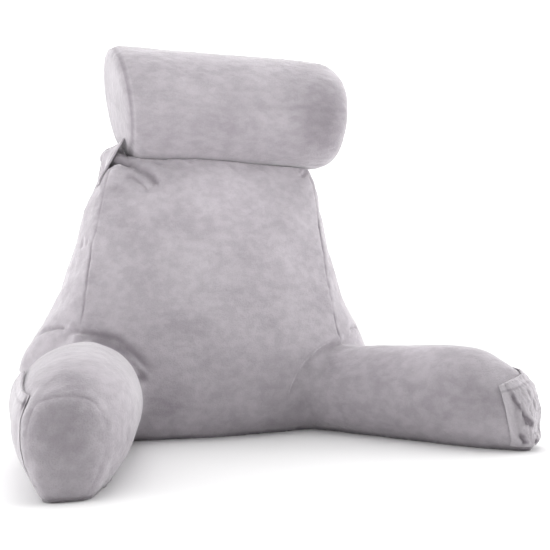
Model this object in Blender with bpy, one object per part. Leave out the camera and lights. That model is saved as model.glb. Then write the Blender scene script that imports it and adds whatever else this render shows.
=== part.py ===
"""Reading pillow with arms.

A filled backrest stands on the floor and leans back a little. Two filled arms grow out of its
sides and reach forward round the sitter, each with a loose elastic pocket. A filled neck roll
lies along the top and is held by a short tab of the same plush.

Metres, +Z up. The sitter faces -Y. The origin is on the floor under the middle of the part.
"""

import math

import bmesh
import bpy
from mathutils import Matrix, Vector
from mathutils.bvhtree import BVHTree

# Driving sizes.
PLUSH_THICKNESS = 0.0026
SEWN_GAPS = {"left": 0.0010, "right": 0.0017, "tab": 0.0013}    # under each sewn-on sheet
PRESSED_GAP = 0.0030        # between the roll and the hollow that it presses into the top
OUTSIDE = 0.5               # well clear of the part, where a line of sight starts
VOXEL = 0.010
SOFTENING_STEPS = 7
BACKREST_DETAIL = 0.22      # share of the fused faces that is kept

# Backrest, from under the floor up. seam is the half width between the two front seams, side
# the half width of the bulging side panels, back that of the back panel. crown is how far the
# middle of the front stands forward of its seams.
BACKREST_COLUMNS = ("height", "seam", "side", "seam_y", "crown", "back_y", "back")
BACKREST_ROWS = (
    (-0.020, 0.226, 0.272, 0.052, 0.042, 0.264, 0.236),
    (0.010, 0.238, 0.304, 0.040, 0.047, 0.284, 0.250),
    (0.060, 0.246, 0.330, 0.029, 0.053, 0.299, 0.262),
    (0.120, 0.248, 0.341, 0.024, 0.056, 0.302, 0.264),
    (0.180, 0.244, 0.321, 0.025, 0.054, 0.293, 0.258),
    (0.250, 0.235, 0.282, 0.031, 0.049, 0.276, 0.244),
    (0.320, 0.226, 0.255, 0.038, 0.044, 0.256, 0.228),
    (0.390, 0.213, 0.234, 0.046, 0.039, 0.234, 0.212),
    (0.450, 0.202, 0.216, 0.056, 0.032, 0.213, 0.198),
    (0.492, 0.190, 0.202, 0.068, 0.023, 0.197, 0.182),
    (0.516, 0.174, 0.190, 0.080, 0.015, 0.184, 0.168),
    (0.529, 0.134, 0.152, 0.100, 0.007, 0.164, 0.128),
)
SIDE_PANEL_DEPTH = 0.092    # from the front seam back to the widest part of the side panel
SIDE_PANEL_SHARE = 0.45     # the same at the narrow top, as a share of the way to the back

# Arms, from inside the backrest out to the rounded end. base is the share of the breadth that
# is left at the floor, and bow carries the middle line outward.
ARM_COLUMNS = ("along", "half_width", "top", "base", "bow")
ARM_ROWS = (
    (-0.090, 0.084, 0.138, 0.62, 0.000),
    (-0.030, 0.097, 0.156, 0.62, 0.004),
    (0.030, 0.101, 0.167, 0.62, 0.008),
    (0.090, 0.099, 0.174, 0.62, 0.008),
    (0.150, 0.096, 0.179, 0.60, 0.007),
    (0.220, 0.090, 0.181, 0.58, 0.005),
    (0.285, 0.084, 0.175, 0.57, 0.004),
    (0.325, 0.076, 0.163, 0.56, 0.006),
    (0.353, 0.065, 0.147, 0.58, 0.009),
    (0.372, 0.052, 0.128, 0.64, 0.011),
    (0.383, 0.038, 0.105, 0.76, 0.013),
    (0.388, 0.020, 0.080, 0.90, 0.013),
)
# Each arm: where its middle line starts, how far it is splayed outward from straight ahead,
# and how long, broad and high it is beside the rows above. The two lie as unevenly as the
# real ones.
ARM_TRAITS = ("side", "root", "splay", "length", "breadth", "fullness")
ARMS = {
    "left": dict(zip(ARM_TRAITS, (-1, (-0.220, 0.070), 6.0, 1.015, 1.00, 1.00))),
    "right": dict(zip(ARM_TRAITS, (1, (0.210, 0.062), 38.0, 1.045, 0.95, 0.89))),
}
ARM_RING_POINTS = 40
ARM_MIDDLE = 0.50           # height of the widest line as a share of the arm's height
ARM_BELOW = 0.020           # how far the form reaches below the floor before it is cut off there
ARM_TAPER = 1.5             # how late the drawing in towards the floor sets in

# Neck roll: its middle point, its turn seen from above, and its rows from end to end. Its left
# end is set a little askew: lean and skew are the slopes that carry the top and the back of a
# section outward.
ROLL_MIDDLE = (0.0375, 0.084, 0.6065)
ROLL_TURN = -3.0
ROLL_COLUMNS = ("along", "radius", "lean", "skew")
ROLL_ROWS = (
    (-0.2250, 0.0220, 0.14, 0.13),
    (-0.2242, 0.0520, 0.14, 0.13),
    (-0.2222, 0.0760, 0.14, 0.13),
    (-0.2180, 0.0910, 0.14, 0.13),
    (-0.2110, 0.0972, 0.13, 0.12),
    (-0.1750, 0.0985, 0.08, 0.08),
    (-0.1000, 0.0990, 0.00, 0.00),
    (0.0000, 0.0995, 0.00, 0.00),
    (0.1000, 0.1000, 0.00, 0.00),
    (0.1500, 0.0990, 0.00, 0.00),
    (0.1800, 0.0945, 0.00, 0.00),
    (0.2020, 0.0840, 0.00, 0.00),
    (0.2160, 0.0660, 0.00, 0.00),
    (0.2220, 0.0400, 0.00, 0.00),
)
ROLL_RING_POINTS = 44

# Soft folds on the backrest and arms: a line of points, its half breadth, and how deep it goes
# in (or, below zero, how far it stands out).
FOLDS = (
    (((-0.160, 0.055, 0.483), (-0.139, 0.046, 0.459), (-0.104, 0.027, 0.435)), 0.012, 0.0080),
    (((-0.186, 0.052, 0.462), (-0.158, 0.047, 0.452), (-0.132, 0.040, 0.446)), 0.009, 0.0045),
    (((-0.194, 0.047, 0.441), (-0.157, 0.036, 0.429)), 0.010, 0.0035),
    (((-0.120, 0.055, 0.494), (-0.059, 0.038, 0.476)), 0.010, 0.0035),
    (((0.184, 0.062, 0.500), (0.160, 0.052, 0.478)), 0.012, 0.0060),
    (((-0.236, 0.020, 0.195), (-0.172, 0.000, 0.160), (-0.143, -0.022, 0.112)), 0.016, -0.0060),
    (((-0.238, 0.088, 0.350), (-0.234, 0.052, 0.312)), 0.012, 0.0040),
)

# Pockets: rows from one end to the other. A run is how far round its arm, in metres from where
# the outer side turns into the end: below zero back along the side, above zero round the end.
# The mouth and the hem each have their own runs and heights. gape is how far the mouth stands
# open.
POCKET_COLUMNS = ("mouth_run", "hem_run", "mouth", "hem", "gape")
POCKETS = {
    "left": (
        (-0.100, -0.100, 0.122, 0.016, 0.000),
        (-0.052, -0.050, 0.136, 0.014, 0.009),
        (-0.004, 0.002, 0.138, 0.014, 0.011),
        (0.040, 0.052, 0.131, 0.014, 0.006),
        (0.078, 0.100, 0.120, 0.016, 0.000),
    ),
    "right": (
        (-0.030, -0.030, 0.108, 0.016, 0.000),
        (0.021, 0.018, 0.122, 0.013, 0.009),
        (0.072, 0.066, 0.126, 0.012, 0.012),
        (0.126, 0.116, 0.120, 0.012, 0.007),
        (0.170, 0.158, 0.104, 0.014, 0.000),
    ),
}
POCKET_CORNER = 0.318       # along the arm, where its outer side turns into its end
POCKET_TURN = 0.088         # how round that corner is
POCKET_STEPS = 40
POCKET_LEVELS = 12
GATHERS = 8
GATHER_HEIGHT = 0.0018

# Tab: the strip of plush pulled taut from the roll's left end to the side of the backrest.
TAB_WIDTH = 0.050
TAB_Y = 0.094
TAB_TOP = 0.534
TAB_FOOT = 0.434
TAB_STEPS = 20
TAB_ACROSS = 8

PLUSH = (0.56, 0.53, 0.56)


def clear_scene():
    for thing in list(bpy.data.objects):
        bpy.data.objects.remove(thing, do_unlink=True)


def plush_material(name, shade):
    """Short grey pile: a soft, dull surface."""
    made = bpy.data.materials.new(name)
    made.use_nodes = True
    shader = made.node_tree.nodes["Principled BSDF"]
    shader.inputs["Base Color"].default_value = (*(part * shade for part in PLUSH), 1.0)
    shader.inputs["Roughness"].default_value = 0.95
    shader.inputs["Metallic"].default_value = 0.0
    return made


def catmull_rom(before, start, end, after, t):
    """The smooth curve value between start and end."""
    return 0.5 * (2 * start + (end - before) * t + (2 * before - 5 * start + 4 * end - after) * t**2
                  + (3 * start - before - 3 * end + after) * t**3)


def smooth_rows(columns, rows, steps):
    """Fill in a table: steps rows for each gap between two of its rows, as named values."""
    filled = []
    last = len(rows) - 1
    for gap in range(last):
        before, start, end, after = (rows[max(0, min(last, gap + shift))] for shift in (-1, 0, 1, 2))
        for step in range(steps):
            t = step / steps
            values = [catmull_rom(*column, t) for column in zip(before, start, end, after)]
            filled.append(dict(zip(columns, values)))
    filled.append(dict(zip(columns, rows[last])))
    return filled


def smooth_loop(points, steps):
    """A closed smooth curve through points, steps points for each gap."""
    count = len(points)
    loop = []
    for index in range(count):
        corners = [points[(index + shift) % count] for shift in (-1, 0, 1, 2)]
        loop += [catmull_rom(*corners, step / steps) for step in range(steps)]
    return loop


def loft(name, rings):
    """A closed body through rings of equally many points, closed by a fan at each end."""
    builder = bmesh.new()
    rows = [[builder.verts.new(point) for point in ring] for ring in rings]
    count = len(rows[0])
    for lower, upper in zip(rows, rows[1:]):
        for index in range(count):
            after = (index + 1) % count
            builder.faces.new((lower[index], lower[after], upper[after], upper[index]))
    for row in (rows[0], rows[-1]):
        middle = builder.verts.new(sum((corner.co for corner in row), Vector()) / count)
        for index in range(count):
            builder.faces.new((row[index], row[(index + 1) % count], middle))
    bmesh.ops.recalc_face_normals(builder, faces=builder.faces)
    return object_from(builder, name)


def object_from(builder, name):
    mesh = bpy.data.meshes.new(name)
    builder.to_mesh(mesh)
    builder.free()
    mesh.shade_smooth()
    made = bpy.data.objects.new(name, mesh)
    bpy.context.scene.collection.objects.link(made)
    return made


def evaluated_mesh(thing):
    """A copy of the object's mesh with its modifiers worked in."""
    depsgraph = bpy.context.evaluated_depsgraph_get()
    return bpy.data.meshes.new_from_object(thing.evaluated_get(depsgraph), depsgraph=depsgraph)


def backrest_ring(row):
    """The outline of the backrest at one height: crowned front, bulging sides, flat back."""
    front = row["seam_y"] - row["crown"]
    widest = min(SIDE_PANEL_DEPTH, SIDE_PANEL_SHARE * (row["back_y"] - row["seam_y"]))
    half = [
        (0.50 * row["seam"], front + 0.20 * row["crown"]),
        (0.84 * row["seam"], front + 0.64 * row["crown"]),
        (row["seam"], row["seam_y"]),
        (row["side"], row["seam_y"] + widest),
        (row["back"], row["back_y"] - 0.035),
        (0.78 * row["back"], row["back_y"] - 0.006),
    ]
    loop = [(0.0, front), *half, (0.0, row["back_y"]), *((-x, y) for x, y in reversed(half))]
    return smooth_loop([Vector((x, y, row["height"])) for x, y in loop], 4)


def arm_frame(arm):
    """The arm's start on the floor, the way it points, and the way its outer side faces."""
    turn = math.radians(arm["splay"])
    ahead = Vector((arm["side"] * math.sin(turn), -math.cos(turn), 0.0))
    outward = Vector((arm["side"] * math.cos(turn), math.sin(turn), 0.0))
    return Vector((*arm["root"], 0.0)), ahead, outward


def arm_ring(arm, row):
    """A section across the arm: round above its widest line, drawn in towards the floor below."""
    root, ahead, outward = arm_frame(arm)
    centre = root + ahead * row["along"] * arm["length"] + outward * row["bow"]
    half_width = row["half_width"] * arm["breadth"]
    top = row["top"] * arm["fullness"]
    middle = ARM_MIDDLE * top
    ring = []
    for index in range(ARM_RING_POINTS):
        angle = math.tau * index / ARM_RING_POINTS
        if math.sin(angle) >= 0:
            up = middle + (top - middle) * math.sin(angle)
            across = half_width * math.cos(angle)
        else:
            up = middle + (middle + ARM_BELOW) * math.sin(angle)
            drawn_in = (1 - row["base"]) * ((middle - up) / middle) ** ARM_TAPER
            across = math.copysign(half_width * (1 - drawn_in), math.cos(angle))
        ring.append(centre + outward * across + Vector((0, 0, up)))
    return ring


def fused_body():
    """Backrest and arms as one soft filled form, before folds and floor."""
    shapes = [loft("backrest_shape", [backrest_ring(row) for row in
                                      smooth_rows(BACKREST_COLUMNS, BACKREST_ROWS, 3)])]
    for side, arm in ARMS.items():
        rows = smooth_rows(ARM_COLUMNS, ARM_ROWS, 3)
        shapes.append(loft(side + "_arm_shape", [arm_ring(arm, row) for row in rows]))
    builder = bmesh.new()
    for shape in shapes:
        builder.from_mesh(shape.data)
        bpy.data.objects.remove(shape, do_unlink=True)
    body = object_from(builder, "body_shape")
    remesh = body.modifiers.new("fuse", "REMESH")
    remesh.mode = "VOXEL"
    remesh.voxel_size = VOXEL
    soften = body.modifiers.new("soften", "SMOOTH")
    soften.factor = 0.5
    soften.iterations = SOFTENING_STEPS
    mesh = evaluated_mesh(body)
    bpy.data.objects.remove(body, do_unlink=True)
    return mesh


def distance_to_line(point, line):
    """Distance to a run of points, and how near its middle that is (1 there, 0 at its ends)."""
    best, near_middle = 1.0, 0.0
    pieces = len(line) - 1
    for index in range(pieces):
        start, step = line[index], line[index + 1] - line[index]
        t = max(0.0, min(1.0, (point - start).dot(step) / step.length_squared))
        away = (point - start - step * t).length
        if away < best:
            best = away
            near_middle = math.sin(math.pi * max(0.08, min(0.92, (index + t) / pieces)))
    return best, near_middle


def press_folds(mesh):
    """Move the surface in or out along each soft fold."""
    normals = [vertex.normal.copy() for vertex in mesh.vertices]
    for points, breadth, depth in FOLDS:
        line = [Vector(point) for point in points]
        for vertex, normal in zip(mesh.vertices, normals):
            away, strength = distance_to_line(vertex.co, line)
            if away < 3 * breadth:
                vertex.co -= normal * depth * strength * math.exp(-(away / breadth) ** 2)


def roll_placing():
    return Matrix.Translation(ROLL_MIDDLE) @ Matrix.Rotation(math.radians(ROLL_TURN), 4, "Z")


def make_neck_roll():
    """The filled roll: a long round form, crisper at its left end than at its right."""
    placing = roll_placing()
    rings = []
    for row in smooth_rows(ROLL_COLUMNS, ROLL_ROWS, 2):
        ring = []
        for index in range(ROLL_RING_POINTS):
            angle = math.tau * index / ROLL_RING_POINTS
            across, up = row["radius"] * math.cos(angle), row["radius"] * math.sin(angle)
            along = row["along"] - row["lean"] * up - row["skew"] * across
            ring.append(placing @ Vector((along, across, up)))
        rings.append(ring)
    roll = loft("neck_roll", rings)
    roll.data.materials.append(plush_material("neck_roll_plush", 1.02))
    return roll


def press_roll_into(mesh, roll):
    """Lower the top of the backrest wherever the roll lies on it."""
    surface = BVHTree.FromObject(roll, bpy.context.evaluated_depsgraph_get())
    for vertex in mesh.vertices:
        start = Vector((vertex.co.x, vertex.co.y, 0.3))
        hit = surface.ray_cast(start, Vector((0, 0, 1)))[0]
        if hit is not None and vertex.co.z > hit.z - PRESSED_GAP:
            vertex.co.z = hit.z - PRESSED_GAP


def cut_floor(mesh):
    """Slice the form off flat where it stands, and close the slice."""
    builder = bmesh.new()
    builder.from_mesh(mesh)
    everything = [*builder.verts, *builder.edges, *builder.faces]
    cut = bmesh.ops.bisect_plane(builder, geom=everything, dist=1e-5, plane_co=(0, 0, 0),
                                 plane_no=(0, 0, 1), clear_inner=True)
    rim = [item for item in cut["geom_cut"] if isinstance(item, bmesh.types.BMEdge)]
    bmesh.ops.triangle_fill(builder, edges=rim, use_beauty=True, normal=(0, 0, -1))
    bmesh.ops.triangulate(builder, faces=builder.faces)
    bmesh.ops.recalc_face_normals(builder, faces=builder.faces)
    return builder


def make_reading_pillow(roll):
    """The one filled piece: backrest and both arms, folded, pressed by the roll and flat under."""
    mesh = fused_body()
    press_folds(mesh)
    press_roll_into(mesh, roll)
    body = bpy.data.objects.new("thinned_shape", mesh)
    bpy.context.scene.collection.objects.link(body)
    thin = body.modifiers.new("thin", "DECIMATE")
    thin.ratio = BACKREST_DETAIL
    thinned = evaluated_mesh(body)
    bpy.data.objects.remove(body, do_unlink=True)
    press_roll_into(thinned, roll)
    pillow = object_from(cut_floor(thinned), "reading_pillow")
    pillow.data.materials.clear()
    pillow.data.materials.append(plush_material("pillow_plush", 1.0))
    return pillow


def sheet(name, inner, outward, shade):
    """A thin closed sheet from a grid of inner points, thickened along outward."""
    builder = bmesh.new()
    layers = []
    for lift in (0.0, PLUSH_THICKNESS):
        layers.append([[builder.verts.new(point + way * lift) for point, way in zip(*pair)]
                       for pair in zip(inner, outward)])
    rows, count = len(inner), len(inner[0])
    for layer in layers:
        for row in range(rows - 1):
            for index in range(count - 1):
                builder.faces.new((layer[row][index], layer[row][index + 1],
                                   layer[row + 1][index + 1], layer[row + 1][index]))
    rim = [(0, index) for index in range(count)]
    rim += [(row, count - 1) for row in range(1, rows)]
    rim += [(rows - 1, index) for index in range(count - 2, -1, -1)]
    rim += [(row, 0) for row in range(rows - 2, 0, -1)]
    for here, after in zip(rim, rim[1:] + rim[:1]):
        corners = [layers[0][here[0]][here[1]], layers[0][after[0]][after[1]],
                   layers[1][after[0]][after[1]], layers[1][here[0]][here[1]]]
        builder.faces.new(corners)
    bmesh.ops.recalc_face_normals(builder, faces=builder.faces)
    made = object_from(builder, name)
    made.data.materials.append(plush_material(name + "_plush", shade))
    return made


def round_the_arm(arm, run):
    """A point on the arm's middle line and the way out from it, for a run round the arm."""
    root, ahead, outward = arm_frame(arm)
    radius = POCKET_TURN * arm["breadth"]
    turn_point = root + ahead * (POCKET_CORNER * arm["length"] - radius)
    if run <= 0:
        return turn_point + ahead * run, outward
    angle = min(run / radius, math.pi)
    return turn_point, outward * math.cos(angle) + ahead * math.sin(angle)


def make_pocket(side, surface):
    """An elastic pocket: sewn down at its two ends and hem, open and gathered at its mouth."""
    columns = smooth_rows(POCKET_COLUMNS, POCKETS[side], POCKET_STEPS // (len(POCKETS[side]) - 1))
    last = len(columns) - 1
    inner, outward = [], []
    for level in range(POCKET_LEVELS + 1):
        height = level / POCKET_LEVELS
        points, ways = [], []
        for index, column in enumerate(columns):
            run = column["hem_run"] + (column["mouth_run"] - column["hem_run"]) * height
            middle, way = round_the_arm(ARMS[side], run)
            z = column["hem"] + (column["mouth"] - column["hem"]) * height
            start = Vector((middle.x, middle.y, z)) + way * OUTSIDE
            on_arm, normal = surface.ray_cast(start, -way)[:2]
            loose = math.sin(math.pi * index / last) * min(1.0, 3 * height)
            wave = GATHER_HEIGHT * loose * (1 - math.cos(math.tau * GATHERS * index / last))
            open_by = max(0.0, column["gape"]) * height ** 2
            points.append(on_arm + normal * SEWN_GAPS[side] + way * (wave + open_by))
            ways.append(way)
        inner.append(points)
        outward.append(ways)
    return sheet(side + "_pocket", inner, outward, 0.97)


def make_roll_tab(surfaces):
    """The short strip from the roll's left end down to the side of the backrest."""
    left = Vector((-1, 0, 0))
    heights = [TAB_TOP + (TAB_FOOT - TAB_TOP) * step / TAB_STEPS for step in range(TAB_STEPS + 1)]
    lines = []
    for index in range(TAB_ACROSS + 1):
        y = TAB_Y + (index / TAB_ACROSS - 0.5) * TAB_WIDTH
        reach = []
        for z in heights:
            hits = [surface.ray_cast(Vector((-OUTSIDE, y, z)), -left)[0] for surface in surfaces]
            reach.append(min((hit.x for hit in hits if hit is not None), default=OUTSIDE) - SEWN_GAPS["tab"])
        line = []
        for step, z in enumerate(heights):
            x = min(reach[above] + (reach[below] - reach[above]) * (step - above) / (below - above)
                    for above in range(step + 1) for below in range(step, TAB_STEPS + 1)
                    if below > above)
            line.append(Vector((x, y, z)))
        lines.append(line)
    inner = [list(points) for points in zip(*lines)]
    outward = [[left] * len(lines) for _ in inner]
    return sheet("roll_tab", inner, outward, 1.05)


def centre_on_floor(things):
    """Put the origin on the floor under the middle of the whole part's box."""
    corners = [vertex.co for thing in things for vertex in thing.data.vertices]
    middle = [(min(point[axis] for point in corners) + max(point[axis] for point in corners)) / 2
              for axis in (0, 1)]
    shift = Vector((-middle[0], -middle[1], 0))
    for thing in things:
        thing.data.transform(Matrix.Translation(shift))


clear_scene()
roll = make_neck_roll()
pillow = make_reading_pillow(roll)
graph = bpy.context.evaluated_depsgraph_get()
pillow_surface = BVHTree.FromObject(pillow, graph)
roll_surface = BVHTree.FromObject(roll, graph)
parts = [roll, pillow, make_roll_tab([pillow_surface, roll_surface])]
parts += [make_pocket(side, pillow_surface) for side in ARMS]
centre_on_floor(parts)
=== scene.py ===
"""Reading pillow with arms, in pale grey plush: backrest and arms, neck roll, tab and pockets."""

import math

import bmesh
import bpy
import numpy as np
from mathutils import Matrix, Vector
from mathutils.bvhtree import BVHTree


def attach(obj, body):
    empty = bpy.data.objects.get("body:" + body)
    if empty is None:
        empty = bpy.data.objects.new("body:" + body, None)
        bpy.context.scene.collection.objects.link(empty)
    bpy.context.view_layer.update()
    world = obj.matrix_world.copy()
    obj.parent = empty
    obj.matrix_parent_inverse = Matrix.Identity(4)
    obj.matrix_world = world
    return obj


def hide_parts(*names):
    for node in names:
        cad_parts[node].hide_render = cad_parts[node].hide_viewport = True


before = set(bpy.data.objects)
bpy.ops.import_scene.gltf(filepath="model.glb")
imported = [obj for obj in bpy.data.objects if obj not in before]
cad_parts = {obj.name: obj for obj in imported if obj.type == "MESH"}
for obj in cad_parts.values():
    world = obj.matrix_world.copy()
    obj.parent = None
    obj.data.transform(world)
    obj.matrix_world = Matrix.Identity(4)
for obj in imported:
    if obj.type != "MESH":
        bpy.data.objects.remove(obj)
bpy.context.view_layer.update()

# ------------------------------------------------------------------------------------------
# Camera. It stands a little to the left of the pillow, at the height of the backrest's middle,
# and looks slightly to the right and almost level.
CAMERA_AT = (-0.3712, -1.2035, 0.2600)
CAMERA_TURN = 18.0          # degrees to the right
CAMERA_TILT = 1.23          # degrees up
LENS = 45.8                 # millimetres, on a 36 mm sensor

camera_data = bpy.data.cameras.new("camera")
camera_data.lens = LENS
camera_data.sensor_width = 36.0
camera = bpy.data.objects.new("camera", camera_data)
camera.location = CAMERA_AT
camera.rotation_euler = (math.radians(90 + CAMERA_TILT), 0.0, math.radians(-CAMERA_TURN))
bpy.context.scene.collection.objects.link(camera)
bpy.context.scene.camera = camera
bpy.context.scene.view_settings.view_transform = "Standard"

# ------------------------------------------------------------------------------------------
# Studio. A white floor that runs out of sight, painted a little darker near the pillow as painted
# shade and whiter away from it as painted light, a white room that is dimmer on the side the pillow
# faces, and four lamps round the pillow.
ROOM_FRONT = 0.13           # brightness of the room on the side that the pillow faces
ROOM_BACK = 1.50            # and behind it
ROOM_FADE = (-0.75, 0.20)   # where that changes, with -1 straight ahead and 1 straight behind
FLOOR_NEAR = 0.90           # the floor's colour at the pillow, darker there as painted shade
FLOOR_FAR = 1.00            # and away from it, whiter as painted light
FLOOR_FADE = (0.30, 0.70)   # where that changes, in metres from the middle
LAMPS = (
    # name, place, what it points at, size, spread in degrees, watts
    ("top_lamp", (-0.10, 0.15, 2.00), (-0.08, 0.00, 0.25), 1.2, 180.0, 12.0),
    ("front_lamp", (-0.45, -2.30, 1.35), (-0.08, 0.10, 0.47), 0.5, 26.0, 0.58),
    ("left_lamp", (-1.90, 0.10, 0.60), (-0.20, 0.00, 0.20), 1.2, 180.0, 10.0),
    ("right_lamp", (1.90, -0.40, 0.60), (0.20, 0.00, 0.20), 1.1, 180.0, 19.0),
)

floor_mesh = bpy.data.meshes.new("floor")
floor_mesh.from_pydata([(-9, -9, -0.0005), (9, -9, -0.0005), (9, 9, -0.0005), (-9, 9, -0.0005)],
                       [], [(0, 1, 2, 3)])
floor = bpy.data.objects.new("floor", floor_mesh)
bpy.context.scene.collection.objects.link(floor)
floor_paint = bpy.data.materials.new("floor_paint")
floor_paint.use_nodes = True
floor_shader = floor_paint.node_tree.nodes["Principled BSDF"]
floor_nodes, floor_links = floor_paint.node_tree.nodes, floor_paint.node_tree.links
floor_place = floor_nodes.new("ShaderNodeTexCoord")
floor_away = floor_nodes.new("ShaderNodeVectorMath")
floor_away.operation = "LENGTH"
floor_painted_shade = floor_nodes.new("ShaderNodeMapRange")
floor_painted_shade.interpolation_type = "SMOOTHSTEP"
floor_painted_shade.inputs["From Min"].default_value = FLOOR_FADE[0]
floor_painted_shade.inputs["From Max"].default_value = FLOOR_FADE[1]
floor_painted_shade.inputs["To Min"].default_value = FLOOR_NEAR
floor_painted_shade.inputs["To Max"].default_value = FLOOR_FAR
floor_links.new(floor_place.outputs["Object"], floor_away.inputs[0])
floor_links.new(floor_away.outputs["Value"], floor_painted_shade.inputs["Value"])
floor_links.new(floor_painted_shade.outputs["Result"], floor_shader.inputs["Base Color"])
floor_shader.inputs["Roughness"].default_value = 0.9
floor_shader.inputs["Specular IOR Level"].default_value = 0.1
floor_mesh.materials.append(floor_paint)

room = bpy.data.worlds.new("room")
room.use_nodes = True
bpy.context.scene.world = room
room_nodes, room_links = room.node_tree.nodes, room.node_tree.links
direction = room_nodes.new("ShaderNodeTexCoord")
split = room_nodes.new("ShaderNodeSeparateXYZ")
shade = room_nodes.new("ShaderNodeMapRange")
shade.interpolation_type = "SMOOTHSTEP"
shade.inputs["From Min"].default_value = ROOM_FADE[0]
shade.inputs["From Max"].default_value = ROOM_FADE[1]
shade.inputs["To Min"].default_value = ROOM_FRONT
shade.inputs["To Max"].default_value = ROOM_BACK
room_links.new(direction.outputs["Generated"], split.inputs[0])
room_links.new(split.outputs["Y"], shade.inputs["Value"])
room_links.new(shade.outputs["Result"], room_nodes["Background"].inputs["Strength"])
room_nodes["Background"].inputs["Color"].default_value = (1.0, 1.0, 1.0, 1.0)

for lamp_name, place, target, size, spread, watts in LAMPS:
    lamp_data = bpy.data.lights.new(lamp_name, "AREA")
    lamp_data.size = size
    lamp_data.spread = math.radians(spread)
    lamp_data.energy = watts
    lamp = bpy.data.objects.new(lamp_name, lamp_data)
    lamp.location = place
    lamp.rotation_euler = (Vector(target) - Vector(place)).to_track_quat("-Z", "Y").to_euler()
    bpy.context.scene.collection.objects.link(lamp)

# ------------------------------------------------------------------------------------------
# Neck roll. A tube of plush filled with fibre, closed by a round cap with a seam at its left
# end and gathered softly over at its right end. It lies along the top of the backrest.
BACKREST_AT = Vector((-0.0762, 0.0095, 0.0))    # the middle of the backrest; sizes start there
ROLL_MIDDLE = Vector((0.0375, 0.084, 0.6065))
ROLL_TURN = -3.0
ROLL_COLUMNS = ("along", "radius", "lean", "skew", "sag")
ROLL_ROWS = (
    (-0.2190, 0.0050, 0.20, 0.13, 0.0000),
    (-0.2200, 0.0300, 0.20, 0.13, 0.0000),
    (-0.2193, 0.0600, 0.20, 0.13, 0.0000),
    (-0.2170, 0.0820, 0.20, 0.13, 0.0000),
    (-0.2130, 0.0930, 0.20, 0.13, 0.0000),
    (-0.2095, 0.0955, 0.19, 0.12, 0.0005),
    (-0.2060, 0.0972, 0.18, 0.12, 0.0018),
    (-0.1985, 0.0990, 0.16, 0.11, 0.0060),
    (-0.1750, 0.0995, 0.10, 0.08, 0.0120),
    (-0.1000, 0.0992, 0.00, 0.00, 0.0115),
    (0.0000, 0.0995, 0.00, 0.00, 0.0085),
    (0.1000, 0.1000, 0.00, 0.00, 0.0060),
    (0.1500, 0.0990, 0.00, 0.00, 0.0075),
    (0.1790, 0.0945, 0.00, 0.00, 0.0092),
    (0.2000, 0.0840, 0.00, 0.00, 0.0100),
    (0.2135, 0.0660, 0.00, 0.00, 0.0080),
    (0.2190, 0.0400, 0.00, 0.00, 0.0020),
    (0.2198, 0.0050, 0.00, 0.00, 0.0000),
)
ROLL_RIM_ROW = 5            # the row of the cap's seam
ROLL_AROUND = 180
ROLL_STEPS = 9
# Waves in the roll's cover: how many round it, how high, and how far from the seam or the end.
RIM_GATHERS = (17, 0.0009, 0.022)
END_TUCKS = (9, 0.0016, 0.075)
# And along all of it: how high, how many round it, how close along it, and a seed.
ROLL_SLACK = ((0.0010, 3, 14, 8), (0.0006, 7, -31, 2))
RIM_WIDTH = 0.0042          # the groove of the cap's seam: half its width and its depth
RIM_DEPTH = 0.0020
CAP_SEAM_SHADE = 0.50       # painted shade in it: how much darker
# Painted shade on the roll, just inside the cap's rim and low on its front near the right end: where
# along it or in from the rim, how far that reaches, the angle round the roll and how far that reaches,
# and how much darker.
CAP_SHADE = (0.012, 0.014, 2.55, 0.75, 0.42)
PAINTED_SHADE_SPOT = (0.160, 0.060, math.pi + 0.40, 0.70, 0.58)
PAINTED_UNDERSIDE_SHADE = (math.pi + 0.62, 0.42, 0.20)    # painted shade all along its underside: angle, reach, how much darker
PLUSH_LIGHT = (0.548, 0.514, 0.548)
PLUSH_DARK = (0.340, 0.312, 0.342)


def catmull_rom(before, start, end, after, t):
    """The smooth curve value between start and end."""
    return 0.5 * (2 * start + (end - before) * t + (2 * before - 5 * start + 4 * end - after) * t**2
                  + (3 * start - before - 3 * end + after) * t**3)


def smooth_rows(columns, rows, steps):
    """Fill in a table: steps rows for each gap between two of its rows, as named values."""
    filled = []
    last = len(rows) - 1
    for gap in range(last):
        before, start, end, after = (rows[max(0, min(last, gap + shift))] for shift in (-1, 0, 1, 2))
        for step in range(steps):
            values = [catmull_rom(*column, step / steps) for column in zip(before, start, end, after)]
            filled.append(dict(zip(columns, values)))
    filled.append(dict(zip(columns, rows[last])))
    return filled


def object_from(builder, name):
    mesh = bpy.data.meshes.new(name)
    builder.to_mesh(mesh)
    builder.free()
    mesh.shade_smooth()
    made = bpy.data.objects.new(name, mesh)
    bpy.context.scene.collection.objects.link(made)
    return made


def loft(name, rings):
    """A closed body through rings of equally many points, closed by a fan at each end."""
    builder = bmesh.new()
    rows = [[builder.verts.new(point) for point in ring] for ring in rings]
    count = len(rows[0])
    for lower, upper in zip(rows, rows[1:]):
        for index in range(count):
            after = (index + 1) % count
            builder.faces.new((lower[index], lower[after], upper[after], upper[index]))
    for row in (rows[0], rows[-1]):
        middle = builder.verts.new(sum((corner.co for corner in row), Vector()) / count)
        for index in range(count):
            builder.faces.new((row[index], row[(index + 1) % count], middle))
    bmesh.ops.recalc_face_normals(builder, faces=builder.faces)
    return object_from(builder, name)


def points_of(thing):
    """The places of an object's vertices, one row each."""
    places = np.empty(len(thing.data.vertices) * 3)
    thing.data.vertices.foreach_get("co", places)
    return places.reshape(-1, 3)


def outward_of(thing):
    """The way out of the surface at each vertex, one row each."""
    ways = np.empty(len(thing.data.vertices) * 3)
    thing.data.vertex_normals.foreach_get("vector", ways)
    return ways.reshape(-1, 3)


def put_points(thing, places):
    thing.data.vertices.foreach_set("co", places.ravel())
    thing.data.update()


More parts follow.
